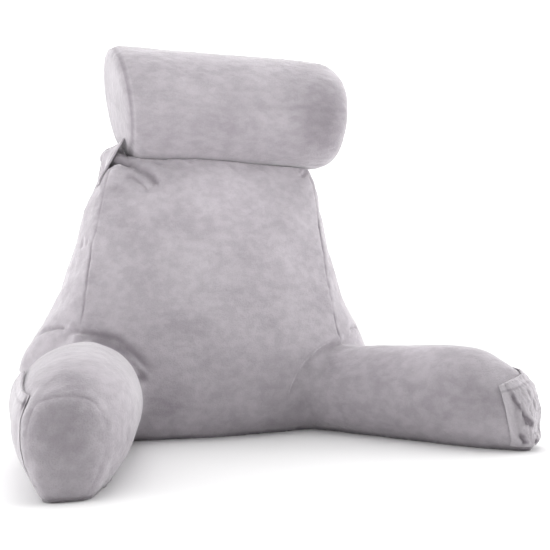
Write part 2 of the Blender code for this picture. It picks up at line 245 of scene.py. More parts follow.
def wander(values, seed):
    """An uneven wave between about -1 and 1, always the same for the same seed."""
    return (0.5 * np.sin(values + 1.7 * seed) + 0.3 * np.sin(2.31 * values + 4.1 * seed)
            + 0.2 * np.sin(4.73 * values + 2.9 * seed))


def lumps(places, size, seed):
    """Soft unevenness of the filling under the cover, about as broad as size."""
    x, y, z = (places / size).T
    return (wander(x + 0.6 * wander(z, seed + 1), seed) * wander(z + 0.5 * y, seed + 2)
            + 0.6 * wander(y + 0.7 * x, seed + 3) * wander(z - 0.4 * x, seed + 4))


def plush(name, light, dark, streak, seed):
    """Short combed pile: dull, lighter at grazing angles, with streaks where it was combed.

    streak is how much the marks are squeezed along each axis. The mesh's values for painted shade, 0 to 1,
    darken the pile in seams, folds and shaded patches, and its values for painted light lighten it.
    """
    made = bpy.data.materials.new(name)
    made.use_nodes = True
    nodes, links = made.node_tree.nodes, made.node_tree.links
    shader = nodes["Principled BSDF"]
    shader.inputs["Roughness"].default_value = 0.92
    shader.inputs["Specular IOR Level"].default_value = 0.12
    shader.inputs["Sheen Weight"].default_value = 0.90
    shader.inputs["Sheen Roughness"].default_value = 0.36
    shader.inputs["Sheen Tint"].default_value = (1.0, 0.985, 1.0, 1.0)
    place = nodes.new("ShaderNodeTexCoord")

    def marks(squeeze, scale, detail, low, high):
        """A soft pattern between 0 and 1, squeezed along the axes."""
        shift = nodes.new("ShaderNodeMapping")
        shift.inputs["Scale"].default_value = squeeze
        shift.inputs["Location"].default_value = (seed * 1.3, seed * 2.1, seed * 0.7)
        pattern = nodes.new("ShaderNodeTexNoise")
        pattern.inputs["Scale"].default_value = scale
        pattern.inputs["Detail"].default_value = detail
        level = nodes.new("ShaderNodeMapRange")
        level.interpolation_type = "SMOOTHSTEP"
        level.inputs["From Min"].default_value = low
        level.inputs["From Max"].default_value = high
        links.new(place.outputs["Object"], shift.inputs["Vector"])
        links.new(shift.outputs["Vector"], pattern.inputs["Vector"])
        links.new(pattern.outputs["Fac"], level.inputs["Value"])
        return level.outputs["Result"]

    def blended(kind, factor, first, second):
        mixed = nodes.new("ShaderNodeMix")
        mixed.data_type = "RGBA"
        mixed.blend_type = kind
        mixed.inputs["Factor"].default_value = factor
        links.new(first, mixed.inputs["A"])
        links.new(second, mixed.inputs["B"])
        return mixed

    def toned(factor, first, second):
        """A colour that goes from first to second with a pattern."""
        tone = nodes.new("ShaderNodeMix")
        tone.data_type = "RGBA"
        tone.inputs["A"].default_value = (*first, 1.0)
        tone.inputs["B"].default_value = (*second, 1.0)
        links.new(factor, tone.inputs["Factor"])
        return tone.outputs["Result"]

    def marked(values, under, colour):
        """The pile's colour, multiplied by another as far as the mesh's named values say."""
        share = nodes.new("ShaderNodeAttribute")
        share.attribute_name = values
        tinted = nodes.new("ShaderNodeMix")
        tinted.data_type = "RGBA"
        tinted.blend_type = "MULTIPLY"
        tinted.inputs["B"].default_value = (*colour, 1.0)
        links.new(share.outputs["Fac"], tinted.inputs["Factor"])
        links.new(under, tinted.inputs["A"])
        return tinted.outputs["Result"]

    def raised(height, strength, distance):
        """Fine relief that follows a pattern."""
        relief = nodes.new("ShaderNodeBump")
        relief.inputs["Strength"].default_value = strength
        relief.inputs["Distance"].default_value = distance
        links.new(height, relief.inputs["Height"])
        return relief

    patches = marks((1.0, 1.0, 1.0), 11.0, 4.0, 0.36, 0.66)
    streaks = marks(streak, 9.0, 4.0, 0.32, 0.70)
    wisps = marks(tuple(part**0.5 for part in streak), 48.0, 5.0, 0.34, 0.68)
    pile = marks((1.0, 1.0, 1.0), 480.0, 3.0, 0.30, 0.70)
    body = toned(patches, tuple(0.55 * a + 0.45 * b for a, b in zip(light, dark)), light)
    streaks_and_painted_light = toned(streaks, dark, light)
    first = blended("MIX", 0.30, body, streaks_and_painted_light)
    fine = blended("MIX", 0.30, first.outputs["Result"], toned(wisps, dark, light))
    tufts = blended("MULTIPLY", 0.30, fine.outputs["Result"],
                    toned(pile, (0.72, 0.72, 0.72), (1.0, 1.0, 1.0)))
    # Painted shade, multiplied darker as far as the mesh says, then painted light, multiplied lighter.
    shade_painted_in = marked("painted_shade", tufts.outputs["Result"], (0.42, 0.40, 0.42))
    links.new(marked("streaks_and_painted_light", shade_painted_in, (1.40, 1.39, 1.40)), shader.inputs["Base Color"])
    nap = raised(pile, 0.35, 0.0012)
    stroke = raised(wisps, 0.26, 0.0020)
    links.new(nap.outputs["Normal"], stroke.inputs["Normal"])
    links.new(stroke.outputs["Normal"], shader.inputs["Normal"])
    return made


def mark(thing, name, values):
    """Store a share between 0 and 1 for each vertex, under name, as painted shade or as painted light."""
    held = thing.data.attributes.new(name, "FLOAT", "POINT")
    held.data.foreach_set("value", np.clip(values, 0.0, 1.0))


def make_neck_roll():
    placing = (Matrix.Translation(BACKREST_AT + ROLL_MIDDLE)
               @ Matrix.Rotation(math.radians(ROLL_TURN), 4, "Z"))
    rows = smooth_rows(ROLL_COLUMNS, ROLL_ROWS, ROLL_STEPS)
    angles = np.linspace(0, math.tau, ROLL_AROUND, endpoint=False)
    rim, rim_radius = ROLL_ROWS[ROLL_RIM_ROW][:2]
    right_end = ROLL_ROWS[-1][0]
    rings, painted_shades = [], []
    for row in rows:
        past_rim = row["along"] - rim
        on_side = past_rim > 0 or row["radius"] > rim_radius
        beside = abs(past_rim) if on_side else (rim_radius - row["radius"])
        seam = math.exp(-(beside / RIM_WIDTH) ** 2)
        count, height, reach = RIM_GATHERS
        gathers = wander(angles * count, 3) * math.exp(-beside / reach) * height
        count, height, reach = END_TUCKS
        to_right = max(0.0, 1 - (right_end - row["along"]) / reach)
        tucks = wander(angles * count, 5) * height * math.sin(math.pi * min(1.0, 1.6 * to_right))
        slack = sum(height * wander(angles * count + row["along"] * close, seed)
                    for height, count, close, seed in ROLL_SLACK)
        radius = row["radius"] + (gathers + tucks + slack) * min(1.0, row["radius"] / 0.05)
        radius = radius - RIM_DEPTH * seam
        ring = []
        for angle, reach in zip(angles, radius):
            across, up = reach * math.cos(angle), reach * math.sin(angle)
            up -= row["sag"] * max(0.0, -math.sin(angle)) ** 1.5
            along = row["along"] - row["lean"] * up - row["skew"] * across
            ring.append(placing @ Vector((along, across, up)))
        rings.append(ring)
        # Painted shade round this ring: just inside the cap's rim, low on the front near the right end, along
        # the underside and in the seam.
        at, reach, turn, spread, amount = CAP_SHADE
        on_cap = 0.0 if on_side else math.exp(-((beside - at) / reach) ** 2)
        shaded = amount * on_cap * np.exp(-((angles - turn) / spread) ** 2)
        at, reach, turn, spread, amount = PAINTED_SHADE_SPOT
        spot_shade = amount * np.exp(-((row["along"] - at) / reach) ** 2
                                  - ((angles - turn) / spread) ** 2)
        turn, spread, amount = PAINTED_UNDERSIDE_SHADE
        underside_shade = amount * np.exp(-((angles - turn) / spread) ** 2)
        stitch_shade = np.full_like(angles, CAP_SEAM_SHADE * seam)
        painted_shades += list(np.maximum.reduce([stitch_shade, shaded, spot_shade, underside_shade]))
    roll = loft("neck_roll_plush", rings)
    mark(roll, "painted_shade", np.array(painted_shades + [0.0, 0.0]))
    return roll


neck_roll = make_neck_roll()
neck_roll.data.materials.append(plush("roll_plush", PLUSH_LIGHT, PLUSH_DARK, (1.0, 2.0, 3.6), 1))
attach(neck_roll, "root")
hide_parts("neck_roll")

# ------------------------------------------------------------------------------------------
# Backrest and arms. One cover of plush over loose filling: a crowned front panel, side panels
# that bulge, a plain back, and two arms with a sewn-in round end. The cover is plumped up from
# inside, held down along its seams, and then creased where the roll and the arms pull at it.
COVER_VOXEL = 0.0092
COVER_SOFTENING = 8
COVER_REGAIN = 0.0012       # what the softening takes off and this puts back
SHRINK = 0.003              # how much smaller the form starts before it is plumped up
SWELL_LIMIT = 0.007
SWELL_FRAMES = 20
FINE_BAND = 0.0098          # how far on either side of seams and folds the cover is made finer
NARROW = 0.0085             # folds up to this half breadth need that
FAR = 0.6
SEAM_DEPTH = 0.0030
END_SEAM_DEPTH = 0.0014
SEAM_SHADE = 0.70           # painted shade in a seam: how much darker
END_SEAM_SHADE = 0.35
UNEVEN = ((0.0016, 0.045, 1), (0.0006, 0.018, 4))   # lumps of filling: height, breadth, seed
ON_FLOOR = 0.004            # up to this height the cover lies flat on the floor
PRESSURE = 4.0              # of the filling from inside, and the slack in the cover it takes up
SLACK = 0.012

# The seams, as points on the cover measured from the backrest's middle.
SEAMS = {
    "front_left": ((-0.192, 0.064, 0.500), (-0.2003, 0.055, 0.445), (-0.2095, 0.046, 0.396),
                   (-0.2156, 0.042, 0.364), (-0.2240, 0.043, 0.335), (-0.2321, 0.033, 0.269),
                   (-0.2373, 0.028, 0.226), (-0.2440, 0.024, 0.196)),
    "front_right": ((0.190, 0.066, 0.500), (0.1960, 0.052, 0.445), (0.1990, 0.042, 0.396),
                    (0.2020, 0.036, 0.345), (0.2080, 0.026, 0.290), (0.2160, 0.020, 0.235),
                    (0.2260, 0.018, 0.186), (0.2340, 0.018, 0.160)),
    "back_left": ((-0.150, 0.180, 0.515), (-0.180, 0.190, 0.480), (-0.212, 0.225, 0.390),
                  (-0.245, 0.262, 0.250), (-0.262, 0.280, 0.120), (-0.250, 0.265, 0.000)),
    "back_right": ((0.150, 0.180, 0.515), (0.180, 0.190, 0.480), (0.212, 0.225, 0.390),
                   (0.245, 0.262, 0.250), (0.262, 0.280, 0.120), (0.250, 0.265, 0.000)),
}

# Folds: a line of points, its half breadth at the start and at the end, how deep it goes in
# (below zero: how far it stands out), and the share of its length over which it dies away.
FOLD_COLUMNS = ("line", "broad_start", "broad_end", "depth", "fade")
FOLDS = (
    # pulled down from under the roll, beside the tab
    (((-0.174, 0.067, 0.501), (-0.155, 0.058, 0.487), (-0.140, 0.052, 0.478),
      (-0.1265, 0.0445, 0.4704), (-0.115, 0.0376, 0.456), (-0.106, 0.030, 0.437)),
     0.0120, 0.0065, 0.0105, 0.22),
    (((-0.152, 0.050, 0.468), (-0.137, 0.045, 0.460), (-0.123, 0.037, 0.442)),
     0.0050, 0.0040, -0.0025, 0.40),
    (((-0.170, 0.050, 0.452), (-0.160, 0.050, 0.459), (-0.149, 0.049, 0.460), (-0.135, 0.041, 0.446),
      (-0.121, 0.029, 0.426)), 0.0048, 0.0042, 0.0072, 0.26),
    (((-0.196, 0.048, 0.442), (-0.172, 0.044, 0.438), (-0.149, 0.035, 0.427)),
     0.0080, 0.0070, 0.0045, 0.35),
    (((-0.196, 0.057, 0.474), (-0.182, 0.055, 0.470), (-0.168, 0.053, 0.467)),
     0.0060, 0.0050, -0.0030, 0.40),
    (((-0.120, 0.060, 0.500), (-0.108, 0.052, 0.490), (-0.093, 0.048, 0.483)),
     0.0045, 0.0035, 0.0035, 0.35),
    (((-0.078, 0.056, 0.500), (-0.068, 0.046, 0.486), (-0.057, 0.037, 0.472)),
     0.0045, 0.0035, 0.0035, 0.35),
    (((-0.050, 0.054, 0.500), (-0.046, 0.044, 0.484)), 0.0050, 0.0040, 0.0025, 0.40),
    (((0.020, 0.054, 0.500), (0.030, 0.042, 0.484), (0.036, 0.038, 0.470)), 0.0060, 0.0040, 0.0022, 0.40),
    # the dark hollow under the roll's left end, with cloth pushed up behind it
    (((-0.214, 0.090, 0.480), (-0.196, 0.080, 0.490), (-0.176, 0.072, 0.495), (-0.156, 0.066, 0.497),
      (-0.136, 0.060, 0.497)), 0.0130, 0.0080, 0.0140, 0.30),
    (((-0.215, 0.150, 0.500), (-0.190, 0.140, 0.515), (-0.150, 0.135, 0.520)),
     0.0240, 0.0200, -0.0180, 0.25),
    # where the tab pulls the side panel in
    (((-0.194, 0.100, 0.520), (-0.204, 0.105, 0.482), (-0.211, 0.110, 0.458), (-0.216, 0.114, 0.440)),
     0.0220, 0.0140, 0.0200, 0.22),
    # at the top right corner
    (((0.192, 0.074, 0.500), (0.180, 0.066, 0.488), (0.166, 0.058, 0.476)), 0.0055, 0.0040, 0.0060, 0.30),
    (((0.176, 0.068, 0.500), (0.165, 0.060, 0.487)), 0.0040, 0.0035, 0.0030, 0.35),
    # across the left side panel, where the arm begins
    (((-0.318, 0.110, 0.186), (-0.306, 0.094, 0.191), (-0.291, 0.074, 0.194), (-0.279, 0.060, 0.195),
      (-0.260, 0.041, 0.192)), 0.0055, 0.0045, 0.0070, 0.20),
    (((-0.300, 0.090, 0.212), (-0.280, 0.065, 0.208), (-0.262, 0.046, 0.200)),
     0.0090, 0.0060, 0.0030, 0.35),
    (((-0.262, 0.043, 0.203), (-0.252, 0.034, 0.195), (-0.243, 0.026, 0.190)),
     0.0050, 0.0040, -0.0030, 0.35),
    # along the root of the left arm: valley, ridge, valley
    (((-0.262, 0.043, 0.188), (-0.242, 0.022, 0.1875), (-0.219, 0.004, 0.186), (-0.198, -0.004, 0.181),
      (-0.1835, -0.008, 0.176), (-0.168, -0.017, 0.162), (-0.147, -0.021, 0.142), (-0.1334, -0.021, 0.128),
      (-0.1199, -0.020, 0.107)), 0.0065, 0.0085, 0.0075, 0.22),
    (((-0.2624, 0.040, 0.181), (-0.2425, 0.022, 0.180), (-0.219, 0.004, 0.178), (-0.200, -0.009, 0.172),
      (-0.179, -0.018, 0.161), (-0.163, -0.024, 0.148), (-0.150, -0.031, 0.132), (-0.137, -0.026, 0.117),
      (-0.126, -0.022, 0.100)), 0.0045, 0.0055, -0.0055, 0.20),
    (((-0.256, 0.022, 0.176), (-0.236, 0.000, 0.174), (-0.214, -0.018, 0.170), (-0.192, -0.028, 0.160),
      (-0.172, -0.034, 0.146), (-0.156, -0.040, 0.128), (-0.142, -0.040, 0.105), (-0.133, -0.036, 0.070)),
     0.0044, 0.0050, 0.0130, 0.20),
    # the sharp crease behind the left arm's top
    (((-0.2333, 0.009, 0.177), (-0.2208, -0.001, 0.176), (-0.2081, -0.007, 0.174), (-0.1955, -0.012, 0.170),
      (-0.1829, -0.018, 0.163), (-0.1736, -0.023, 0.157), (-0.1644, -0.030, 0.148), (-0.1569, -0.035, 0.137),
      (-0.1505, -0.037, 0.127), (-0.1437, -0.035, 0.115), (-0.1401, -0.033, 0.105), (-0.1381, -0.030, 0.092)),
     0.0078, 0.0078, 0.0130, 0.18),
    # along the root of the right arm
    (((0.290, 0.045, 0.160), (0.267, 0.033, 0.160), (0.219, 0.0035, 0.158), (0.185, -0.005, 0.148),
      (0.1585, -0.013, 0.131), (0.1376, -0.017, 0.108), (0.1246, -0.0155, 0.075), (0.123, -0.009, 0.045)),
     0.0060, 0.0060, 0.0055, 0.15),
    (((0.255, 0.018, 0.172), (0.215, -0.002, 0.170), (0.180, -0.012, 0.158), (0.150, -0.018, 0.138),
      (0.126, -0.020, 0.110)), 0.0060, 0.0050, -0.0035, 0.25),
    (((0.306, 0.094, 0.185), (0.285, 0.068, 0.186), (0.262, 0.044, 0.180)),
     0.0060, 0.0045, 0.0055, 0.25),
    # small pulls beside the seams
    (((-0.2316, 0.072, 0.357), (-0.236, 0.075, 0.343), (-0.241, 0.074, 0.330)),
     0.0045, 0.0040, 0.0030, 0.35),
    (((-0.226, 0.058, 0.350), (-0.231, 0.056, 0.335)), 0.0035, 0.0030, 0.0022, 0.35),
    (((0.236, 0.078, 0.352), (0.241, 0.082, 0.330)), 0.0045, 0.0040, 0.0028, 0.35),
    (((-0.215, 0.050, 0.300), (-0.190, 0.030, 0.296), (-0.165, 0.018, 0.298)),
     0.0080, 0.0060, 0.0012, 0.40),
    (((-0.100, -0.010, 0.055), (-0.060, -0.014, 0.050), (-0.015, -0.014, 0.056)),
     0.0100, 0.0080, 0.0015, 0.40),
    (((-0.060, -0.014, 0.115), (0.000, -0.020, 0.108), (0.060, -0.016, 0.116)),
     0.0110, 0.0090, 0.0014, 0.40),
)

# Where the filling has shifted: the middle of the place, its radius, and how far the cover
# stands out there (below zero: how far it lies in).
SHIFTED = (
    ((-0.315, 0.110, 0.210), 0.055, -0.0060),
    ((-0.232, 0.120, 0.405), 0.040, 0.0050),
    ((0.200, 0.110, 0.470), 0.050, 0.0065),
    ((0.470, -0.190, 0.060), 0.055, -0.0065),
    ((0.430, -0.090, 0.080), 0.070, -0.0020),
    ((0.375, -0.145, 0.142), 0.050, 0.0055),
    ((0.408, -0.185, 0.147), 0.045, 0.0065),
    ((-0.334, 0.105, 0.132), 0.035, 0.0060),
    ((-0.338, -0.110, 0.135), 0.050, 0.0030),
)
# Painted shade and painted light on the cover, patch by patch: the middle of the patch, its radius and
# how much it darkens, up to 1 (below zero: how much it lightens).
PAINTED_SHADE_AND_LIGHT = (
    ((-0.273, -0.318, 0.085), 0.046, 0.50),
    ((-0.268, -0.316, 0.030), 0.040, 0.10),
    ((-0.266, -0.292, 0.146), 0.034, 0.20),
    ((-0.200, -0.264, 0.045), 0.036, 0.22),
    ((0.250, -0.120, 0.050), 0.070, 0.22),
    ((0.310, -0.180, 0.055), 0.065, 0.30),
    ((0.360, -0.235, 0.070), 0.050, 0.34),
    ((0.010, -0.030, 0.030), 0.080, 0.22),
    ((-0.100, -0.020, 0.060), 0.055, 0.26),
    ((0.120, -0.020, 0.050), 0.070, 0.26),
    ((-0.190, 0.100, 0.500), 0.012, 0.60),
    ((-0.3156, -0.2690, 0.1275), 0.0045, 0.95),
    ((-0.3160, -0.2770, 0.1215), 0.0045, 0.95),
    ((-0.232, 0.090, 0.400), 0.050, 0.34),
    ((0.010, 0.040, 0.430), 0.085, -0.55),
    ((-0.110, 0.040, 0.410), 0.060, -0.30),
    ((0.110, 0.030, 0.330), 0.070, -0.25),
    ((0.300, -0.120, 0.110), 0.030, -0.30),
    ((0.330, -0.170, 0.080), 0.024, -0.35),
    ((0.330, -0.110, 0.150), 0.060, -0.35),
)
FOOT_SHADE = 0.80           # painted shade along the foot, where the cover meets the floor: how much darker

# The arms, as they lie, and the outline of the panel sewn into each one's end: how far across
# from the arm's middle line, towards its outer side, and how high.
ARM_TRAITS = ("side", "root", "splay", "length", "breadth", "fullness")
ARMS = {
    "left": dict(zip(ARM_TRAITS, (-1, (-0.220, 0.070), 6.0, 1.015, 1.00, 1.00))),
    "right": dict(zip(ARM_TRAITS, (1, (0.210, 0.062), 38.0, 1.045, 0.95, 0.89))),
}
END_SEAM = ((-0.010, 0.001), (-0.018, 0.014), (-0.029, 0.035), (-0.035, 0.059), (-0.036, 0.084),
            (-0.033, 0.101), (-0.022, 0.118), (-0.012, 0.125), (0.009, 0.128), (0.032, 0.126),
            (0.050, 0.118), (0.058, 0.099), (0.060, 0.076), (0.057, 0.051), (0.051, 0.027),
            (0.043, 0.006))


def surface_of(thing):
    return BVHTree.FromObject(thing, bpy.context.evaluated_depsgraph_get())


def smooth_line(points, spacing):
    """Points every spacing metres or so along a smooth open curve."""
    filled = []
    last = len(points) - 1
    for gap in range(last):
        corners = [np.array(points[max(0, min(last, gap + shift))]) for shift in (-1, 0, 1, 2)]
        steps = max(1, round(np.linalg.norm(corners[2] - corners[1]) / spacing))
        filled += [catmull_rom(*corners, step / steps) for step in range(steps)]
    return filled + [np.array(points[last])]


def laid_on(surface, points, spacing=0.005):
    """A smooth line through points measured from the backrest's middle, brought onto a surface."""
    line = smooth_line([Vector(point) + BACKREST_AT for point in points], spacing)
    return np.array([surface.find_nearest(Vector(point))[0] for point in line])


def beside_line(places, ways, line, reach):
    """For each place within reach of a line: its distance, how far along the line in metres, and
    on which side it lies. Places out of reach come back far away."""
    distance = np.full(len(places), FAR)
    along = np.zeros(len(places))
    side = np.zeros(len(places))
    run = 0.0
    near = np.flatnonzero(((places > line.min(axis=0) - reach)
                           & (places < line.max(axis=0) + reach)).all(axis=1))
    for start, end in zip(line, line[1:]):
        step = end - start
        length = np.linalg.norm(step)
        if length < 1e-6:
            continue
        t = np.clip((places[near] - start) @ step / length**2, 0, 1)
        gap = places[near] - start - t[:, None] * step
        away = np.linalg.norm(gap, axis=1)
        closer = away < distance[near]
        chosen = near[closer]
        distance[chosen] = away[closer]
        along[chosen] = run + t[closer] * length
        side[chosen] = np.sign((np.cross(step, gap[closer]) * ways[chosen]).sum(axis=1))
        run += length
    return distance, along, side, run


def faded(along, run, share):
    """1 along the middle of a line, falling softly to 0 over a share of it at each end."""
    t = np.clip(np.minimum(along, run - along) / (share * run), 0, 1)
    return t * t * (3 - 2 * t)


def fold_in(places, ways, line, fold):
    """How far a soft fold moves each place out of the surface, and how much painted shade it gets."""
    reach = 3 * max(fold["broad_start"], fold["broad_end"])
    distance, along, _, run = beside_line(places, ways, line, reach)
    strength = faded(along, run, fold["fade"])
    broad = fold["broad_start"] + (fold["broad_end"] - fold["broad_start"]) * along / run
    form = strength * np.exp(-(distance / broad) ** 2)
    narrow = min(1.0, 0.012 / max(fold["broad_start"], fold["broad_end"])) ** 4
    return -fold["depth"] * form, narrow * form * np.clip(0.7 * fold["depth"] / 0.010, 0, 1) ** 1.3


def sew(places, ways, line, depth, seed, pucker=0.0011, pitch=0.015, ends=0.04):
    """How far a sewn seam with small puckers moves each place, and how much painted shade it gets."""
    distance, along, side, run = beside_line(places, ways, line, 0.05)
    strength = faded(along, run, ends)
    uneven = np.clip(0.70 + 0.60 * wander(along / 0.035, seed + 5), 0.12, 1.3)
    groove = np.exp(-(distance / 0.0024) ** 2) * uneven
    drawn = np.exp(-distance / 0.014) * uneven
    waves = wander(along / pitch * math.tau / 2 + side * 0.8, seed) * np.exp(-distance / 0.013)
    waves *= 1 - np.exp(-(distance / 0.004) ** 2)
    return strength * (pucker * waves - depth * (0.60 * groove + 0.40 * drawn)), strength * groove


def copy_of_solid(node, name):
    """A new object with the same form as one of the frame's solids."""
    made = bpy.data.objects.new(name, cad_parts[node].data.copy())
    made.data.materials.clear()
    bpy.context.scene.collection.objects.link(made)
    return made


def bake_modifiers(thing):
    """Work the object's modifiers into its mesh."""
    depsgraph = bpy.context.evaluated_depsgraph_get()
    mesh = bpy.data.meshes.new_from_object(thing.evaluated_get(depsgraph), depsgraph=depsgraph)
    thing.modifiers.clear()
    thing.data = mesh
    mesh.shade_smooth()


def remesh_softly(thing, voxel, softening):
    remesh = thing.modifiers.new("remesh", "REMESH")
    remesh.mode = "VOXEL"
    remesh.voxel_size = voxel
    soften = thing.modifiers.new("soften", "SMOOTH")
    soften.factor = 0.5
    soften.iterations = softening
    bake_modifiers(thing)


def plump_up(thing, held, pressure, slack, limit):
    """Fill the cover from inside by cloth simulation: held vertices stay, others swell a little."""
    before = points_of(thing)
    group = thing.vertex_groups.new(name="held")
    group.add([int(index) for index in np.flatnonzero(held)], 1.0, "REPLACE")
    cover = thing.modifiers.new("cover", "CLOTH")
    cover.settings.effector_weights.gravity = 0.0
    cover.settings.use_pressure = True
    cover.settings.uniform_pressure_force = pressure
    cover.settings.vertex_group_mass = "held"
    cover.settings.shrink_min = -slack
    cover.point_cache.frame_start = 1
    cover.point_cache.frame_end = SWELL_FRAMES
    for step in range(1, SWELL_FRAMES + 1):
        bpy.context.scene.frame_set(step)
    bake_modifiers(thing)
    move = points_of(thing) - before
    reach = np.linalg.norm(move, axis=1, keepdims=True)
    put_points(thing, before + move * np.minimum(1.0, limit / np.maximum(reach, 1e-9)))
    bpy.context.scene.frame_set(1)


def make_finer(thing, lines, band):
    """Split the faces within band of any of the lines, so that narrow forms can show there."""
    places, ways = points_of(thing), outward_of(thing)
    nearest = np.full(len(places), FAR)
    for line in lines:
        nearest = np.minimum(nearest, beside_line(places, ways, line, band + 0.01)[0])
    builder = bmesh.new()
    builder.from_mesh(thing.data)
    builder.edges.ensure_lookup_table()
    chosen = [edge for edge in builder.edges
              if nearest[edge.verts[0].index] < band and nearest[edge.verts[1].index] < band]
    bmesh.ops.subdivide_edges(builder, edges=chosen, cuts=1, use_grid_fill=True)
    bmesh.ops.triangulate(builder, faces=[face for face in builder.faces if len(face.verts) > 4])
    builder.to_mesh(thing.data)
    builder.free()
    thing.data.shade_smooth()


def arm_frame(arm):
    """The arm's start on the floor, the way it points, and the way its outer side faces."""
    turn = math.radians(arm["splay"])
    ahead = Vector((arm["side"] * math.sin(turn), -math.cos(turn), 0.0))
    outward = Vector((arm["side"] * math.cos(turn), math.sin(turn), 0.0))
    return Vector((*arm["root"], 0.0)) + BACKREST_AT, ahead, outward


def end_seam(surface, arm):
    """The seam round the panel in an arm's end."""
    root, ahead, outward = arm_frame(arm)
    line = []
    for across, up in smooth_line(END_SEAM, 0.006):
        start = root + outward * float(across * arm["breadth"]) + Vector((0, 0, up * arm["fullness"]))
        line.append(surface.ray_cast(start + ahead * FAR, -ahead)[0])
    return np.array(line)


def make_reading_pillow():
    cover = copy_of_solid("reading_pillow", "reading_pillow_plush")
    remesh_softly(cover, COVER_VOXEL, COVER_SOFTENING)
    places, ways = points_of(cover), outward_of(cover)
    on_floor = places[:, 2] < ON_FLOOR
    put_points(cover, places + ways * (COVER_REGAIN * ~on_floor)[:, None])
    surface = surface_of(cover)
    seams = [laid_on(surface, points) for points in SEAMS.values()]
    seams += [end_seam(surface, arm) for arm in ARMS.values()]
    folds = [dict(zip(FOLD_COLUMNS, row)) for row in FOLDS]
    lines = [laid_on(surface, fold["line"]) for fold in folds]
    places, ways = points_of(cover), outward_of(cover)
    nearest = np.full(len(places), FAR)
    for line in seams:
        nearest = np.minimum(nearest, beside_line(places, ways, line, 0.06)[0])
    held = (nearest < 0.006) | on_floor
    loose = 1 - np.exp(-(nearest / 0.02) ** 2)
    put_points(cover, places - ways * (SHRINK * loose * ~on_floor)[:, None])
    plump_up(cover, held, PRESSURE, SLACK, SWELL_LIMIT)
    finer = cover.modifiers.new("finer", "SUBSURF")
    finer.levels = finer.render_levels = 1
    bake_modifiers(cover)
    narrow = [line for fold, line in zip(folds, lines) if fold["broad_start"] <= NARROW]
    make_finer(cover, seams + narrow, FINE_BAND)
    places, ways = points_of(cover), outward_of(cover)
    move = sum(height * lumps(places, breadth, seed) for height, breadth, seed in UNEVEN)
    # Painted shade in the folds, seams and patches and along the foot, as a share for the pile's colour.
    shade_paint = np.zeros(len(places))
    for fold, line in zip(folds, lines):
        shift, depth = fold_in(places, ways, line, fold)
        move += shift
        shade_paint = np.maximum(shade_paint, depth)
    for seed, line in enumerate(seams):
        at_end = seed >= len(SEAMS)
        shift, depth = sew(places, ways, line, END_SEAM_DEPTH if at_end else SEAM_DEPTH, seed)
        move += shift
        shade_paint = np.maximum(shade_paint, (END_SEAM_SHADE if at_end else SEAM_SHADE) * depth)
    for centre, radius, amount in SHIFTED:
        away = np.linalg.norm(places - np.array(BACKREST_AT + Vector(centre)), axis=1)
        move += amount * np.exp(-(away / radius) ** 2)
    # Painted light from the patches below zero; painted shade from the others.
    light = np.zeros(len(places))
    for centre, radius, amount in PAINTED_SHADE_AND_LIGHT:
        away = np.linalg.norm(places - np.array(BACKREST_AT + Vector(centre)), axis=1)
        patchy = np.clip(0.8 + 0.4 * lumps(places, 0.016, 6), 0.2, 1.4)
        painted_tone = amount * patchy * np.exp(-(away / radius) ** 2)
        shade_paint = np.maximum(shade_paint, painted_tone)
        light = np.maximum(light, -painted_tone)
    shade_paint = np.maximum(shade_paint, FOOT_SHADE * np.exp(-(places[:, 2] / 0.006) ** 2))
    move *= np.clip((places[:, 2] - ON_FLOOR) / 0.02, 0, 1)
    places[places[:, 2] < 0.003, 2] = 0.0
    places = places + ways * move[:, None]
    places[:, 2] = np.maximum(places[:, 2], 0.0)
    put_points(cover, places)
    mark(cover, "painted_shade", shade_paint)
    mark(cover, "streaks_and_painted_light", light)
    return cover


def press_under(thing, above, gap):
    """Lower a cover wherever another piece lies on it."""
    surface = surface_of(above)
    places, lying = points_of(thing), points_of(above)
    under = ((places > lying.min(axis=0) - 0.05) & (places < lying.max(axis=0))).all(axis=1)
    for index in np.flatnonzero(under):
        x, y, z = places[index]
        hit = surface.ray_cast(Vector((x, y, 0.3)), Vector((0, 0, 1)))[0]
        if hit is not None and z > hit.z - gap:
            places[index, 2] = hit.z - gap
    put_points(thing, places)


reading_pillow = make_reading_pillow()
press_under(reading_pillow, neck_roll, 0.0012)
reading_pillow.data.materials.append(
    plush("pillow_plush", PLUSH_LIGHT, PLUSH_DARK, (1.3, 1.5, 2.4), 2))
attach(reading_pillow, "root")
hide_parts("reading_pillow")

# ------------------------------------------------------------------------------------------
# Pockets. Each is a band of the same plush, sewn to its arm along the hem and both ends and
# gathered by an elastic in the mouth, round the outer side of the arm and onto its end.
POCKET_COLUMNS = ("mouth_run", "hem_run", "bow", "mouth", "hem", "belly", "ruffle")
POCKETS = {
    "left": (
        (-0.100, -0.100, 0.000, 0.122, 0.016, 0.0000, 0.0010),
        (-0.052, -0.050, 0.000, 0.138, 0.014, 0.0050, 0.0014),
        (-0.004, 0.002, 0.000, 0.142, 0.014, 0.0060, 0.0016),
        (0.046, 0.054, -0.001, 0.134, 0.014, 0.0030, 0.0012),
        (0.093, 0.104, -0.004, 0.1255, 0.016, 0.0000, 0.0006),
    ),
    "right": (
        (-0.030, -0.030, 0.000, 0.116, 0.016, 0.0000, 0.0010),
        (0.021, 0.018, 0.000, 0.130, 0.013, 0.0010, 0.0016),
        (0.072, 0.066, 0.001, 0.131, 0.012, 0.0010, 0.0018),
        (0.120, 0.111, 0.002, 0.124, 0.008, 0.0016, 0.0030),
        (0.164, 0.149, 0.006, 0.1065, 0.008, 0.0016, 0.0036),
    ),
}
